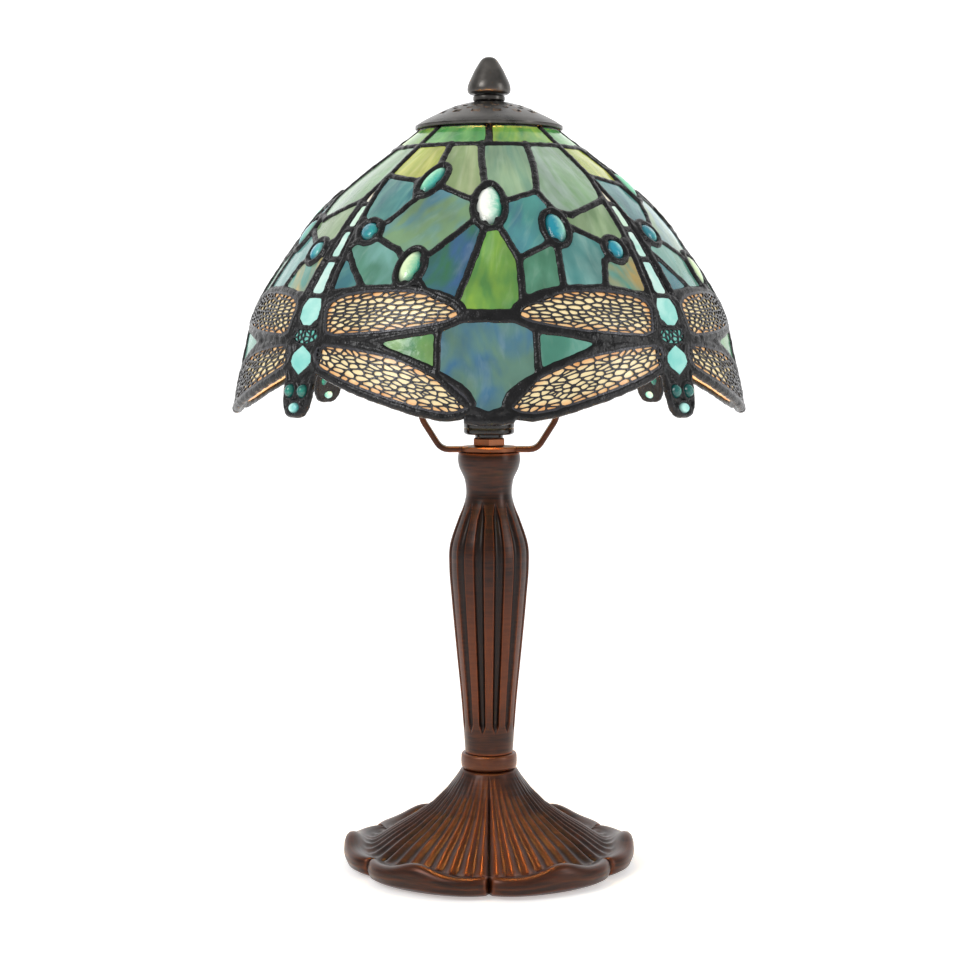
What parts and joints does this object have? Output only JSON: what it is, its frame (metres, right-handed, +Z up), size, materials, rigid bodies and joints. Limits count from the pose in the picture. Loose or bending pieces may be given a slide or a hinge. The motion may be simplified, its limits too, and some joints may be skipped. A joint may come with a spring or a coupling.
{
  "type": "table lamp",
  "caption": "Table lamp: a leaded-glass dragonfly dome rests on a harp over the bulb, above a fluted metal stem, a weighted petal-shaped base and an in-line rocker switch.",
  "frame": {"origin": "centre of the felt pad's flat underside, on the lamp's axis", "axes": "+Z up along the stem, -Y to the front, the cable leaves towards +Y"},
  "size_m": [0.2622, 0.3311, 0.4144],
  "materials": {
    "felt": "matt black felt",
    "bronze": "satin dark brown bronze finish with rubbed copper highlights",
    "copper_bronze": "satin copper-brown metal",
    "gunmetal": "semi-gloss dark gunmetal bronze",
    "lead_came": "dark patinated solder, bumpy, semi-gloss",
    "steel": "zinc-plated steel",
    "cast_iron": "raw cast iron",
    "black_plastic": "gloss black moulded plastic",
    "ceramic": "off-white glazed insulator",
    "opal_glass": "opal white, lit from inside",
    "crown_glass": "streaky opalescent green glass",
    "field_glass": "streaky opalescent green and teal glass",
    "belt_glass": "streaky opalescent blue-green glass",
    "turquoise_glass": "pale turquoise opalescent glass",
    "wing_glass": "cream opal glass under dark metal filigree"
  },
  "bodies": {
    "lamp_body": {"felt_pad": "felt", "base": "bronze", "base_weight": "cast_iron", "base_washer": "steel", "base_nut": "steel", "collar_ring": "copper_bronze", "stem": "bronze", "threaded_rod": "steel", "harp": "copper_bronze", "harp_nut": "copper_bronze", "harp_stud": "steel", "lampholder_base": "black_plastic", "lampholder_shell": "black_plastic", "lampholder_insulator": "ceramic", "lampholder_contact": "copper_bronze", "lampholder_screw_shell": "copper_bronze", "cable": "black_plastic", "cable_bush": "black_plastic", "switch_lower_case": "black_plastic", "switch_upper_case": "black_plastic"},
    "shade_seat": {"seat_washer": "copper_bronze"},
    "shade": {"vent_cap": "gunmetal", "shade_leading": "lead_came", "crown_glass_1": "crown_glass", "crown_glass_2": "crown_glass", "crown_glass_3": "crown_glass", "crown_glass_4": "crown_glass", "crown_glass_5": "crown_glass", "crown_glass_6": "crown_glass", "crown_glass_7": "crown_glass", "crown_glass_8": "crown_glass", "field_glass_1": "field_glass", "field_glass_2": "field_glass", "field_glass_3": "field_glass", "field_glass_4": "field_glass", "belt_glass_1": "belt_glass", "belt_glass_2": "belt_glass", "belt_glass_3": "belt_glass", "belt_glass_4": "belt_glass", "dragonfly_tail_1": "turquoise_glass", "dragonfly_tail_2": "turquoise_glass", "dragonfly_tail_3": "turquoise_glass", "dragonfly_tail_4": "turquoise_glass", "dragonfly_head_1": "turquoise_glass", "dragonfly_head_2": "turquoise_glass", "dragonfly_head_3": "turquoise_glass", "dragonfly_head_4": "turquoise_glass", "right_wings_1": "wing_glass", "right_wings_2": "wing_glass", "right_wings_3": "wing_glass", "right_wings_4": "wing_glass", "left_wings_1": "wing_glass", "left_wings_2": "wing_glass", "left_wings_3": "wing_glass", "left_wings_4": "wing_glass"},
    "finial_seat": {"finial_collar": "gunmetal"},
    "finial": {"finial": "gunmetal"},
    "bulb": {"bulb_cap": "steel", "bulb_glass": "opal_glass"},
    "rocker": {"switch_rocker": "black_plastic"}
  },
  "joints": [
    {"name": "shade_lift", "type": "slide", "parent": "lamp_body", "child": "shade_seat", "axis": [0, 0, 1], "range_m": [0, 0.18]},
    {"name": "shade_turn", "type": "hinge", "parent": "shade_seat", "child": "shade", "pos_m": [0, 0, 0.389], "axis": [0, 0, 1], "continuous": true},
    {"name": "finial_rise", "type": "slide", "parent": "shade", "child": "finial_seat", "axis": [0, 0, 1], "range_m": [0, 0.006]},
    {"name": "finial_turn", "type": "hinge", "parent": "finial_seat", "child": "finial", "pos_m": [0, 0, 0.395], "axis": [0, 0, 1], "range_deg": [0, 2162]},
    {"name": "bulb_turn", "type": "hinge", "parent": "lamp_body", "child": "bulb", "pos_m": [0, 0, 0.26], "axis": [0, 0, 1], "range_deg": [0, 1080]},
    {"name": "switch_rocker", "type": "hinge", "parent": "lamp_body", "child": "rocker", "pos_m": [0, 0.15, 0.0126], "axis": [1, 0, 0], "range_deg": [0, 16]}
  ],
  "couplings": [
    {"joint": "finial_turn", "follows": "finial_rise", "rad_per_m": 6283.2}
  ]
}
